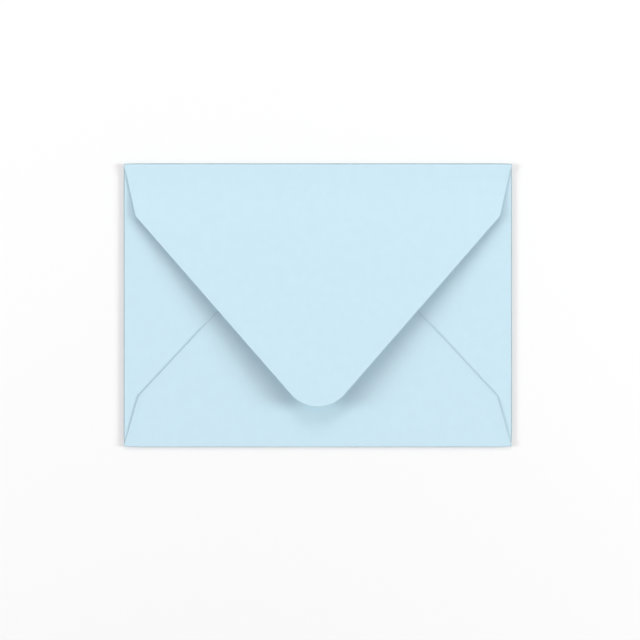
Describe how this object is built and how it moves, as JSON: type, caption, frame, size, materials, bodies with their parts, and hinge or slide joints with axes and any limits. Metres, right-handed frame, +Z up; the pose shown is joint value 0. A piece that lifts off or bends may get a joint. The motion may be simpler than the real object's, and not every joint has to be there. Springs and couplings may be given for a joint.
{
  "type": "paper envelope",
  "caption": "Paper envelope with a deep pointed closing flap, slanting gummed seams and a flat pocket that holds a folded card or letter.",
  "frame": {"origin": "under the middle of the address panel, on the surface that the envelope lies on", "axes": "as the back is seen: +X to the right along the long side, +Y towards the closing flap's fold, +Z up out of the back"},
  "size_m": [0.165, 0.1206, 0.0093],
  "materials": {
    "paper": "matt uncoated pale blue paper, the same on both faces"
  },
  "bodies": {
    "root": {"envelope": "paper"}
  },
  "joints": []
}
